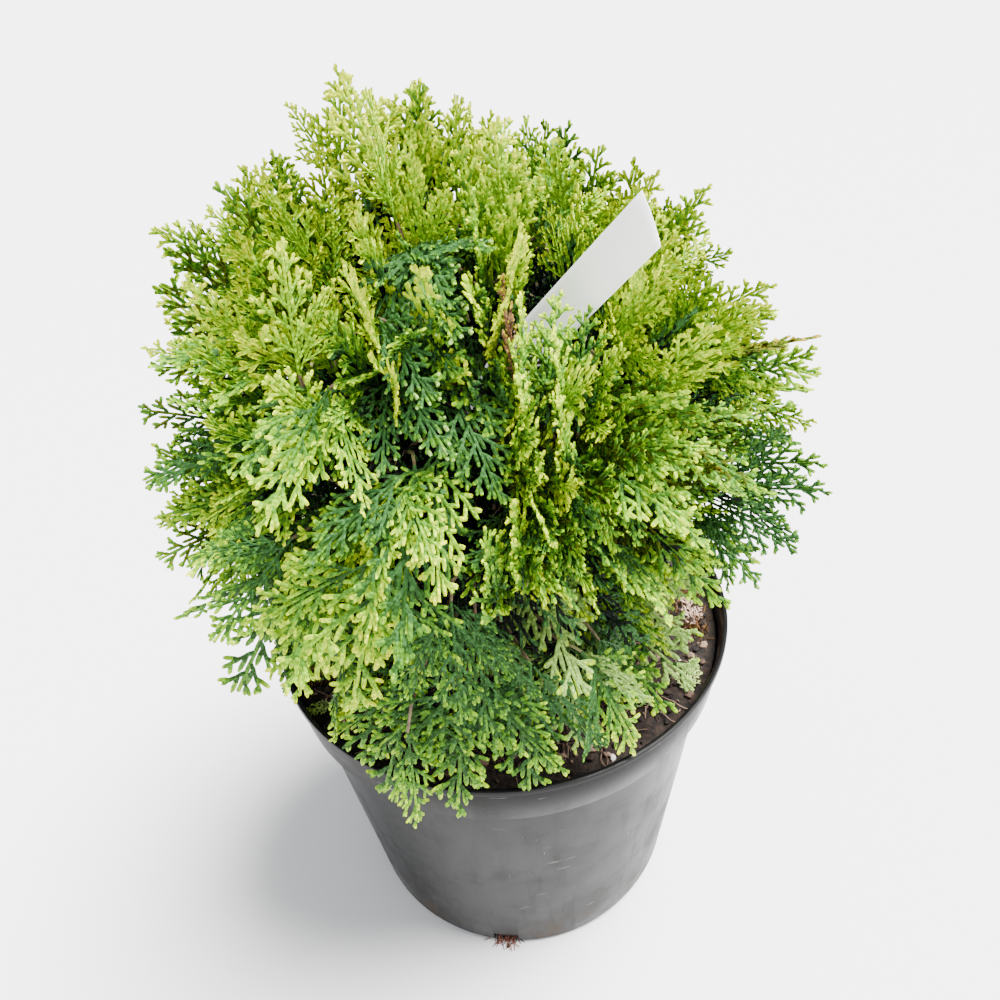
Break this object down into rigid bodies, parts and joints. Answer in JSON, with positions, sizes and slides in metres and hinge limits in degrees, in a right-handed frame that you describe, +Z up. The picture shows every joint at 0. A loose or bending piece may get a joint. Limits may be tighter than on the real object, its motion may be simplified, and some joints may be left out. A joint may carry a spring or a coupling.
{
  "type": "potted shrub",
  "caption": "Danica arborvitae: a dense, round dwarf conifer with flat scaly sprays, in a round dark grey nursery pot with a blank plant label",
  "frame": {"origin": "middle of the pot's flat underside", "axes": "+Z up along the pot's axis, -Y towards the pictured front, +X to the viewer's right"},
  "size_m": [0.3373, 0.3208, 0.5173],
  "materials": {
    "pot": "dark grey, slightly glossy, dusty and scuffed",
    "soil": "dark brown crumbly potting soil",
    "bark": "thin fibrous brown bark",
    "foliage": "lime to mid green scaly sprays, satin",
    "label": "blank white, smooth"
  },
  "bodies": {
    "root": {"pot": "pot", "soil": "soil", "trunk": "bark", "label": "label", "bough_low_1": "bark", "bough_low_2": "bark", "bough_low_3": "bark", "bough_low_4": "bark", "bough_low_5": "bark", "bough_middle_1": "bark", "bough_middle_2": "bark", "bough_middle_3": "bark", "bough_middle_4": "bark", "bough_middle_5": "bark", "bough_middle_6": "bark", "bough_high_1": "bark", "bough_high_2": "bark", "bough_high_3": "bark", "bough_high_4": "bark", "bough_high_5": "bark", "bough_top": "bark", "foliage_low_1": "foliage", "foliage_low_2": "foliage", "foliage_low_3": "foliage", "foliage_low_4": "foliage", "foliage_low_5": "foliage", "foliage_middle_1": "foliage", "foliage_middle_2": "foliage", "foliage_middle_3": "foliage", "foliage_middle_4": "foliage", "foliage_middle_5": "foliage", "foliage_middle_6": "foliage", "foliage_high_1": "foliage", "foliage_high_2": "foliage", "foliage_high_3": "foliage", "foliage_high_4": "foliage", "foliage_high_5": "foliage", "foliage_top": "foliage"}
  },
  "joints": []
}
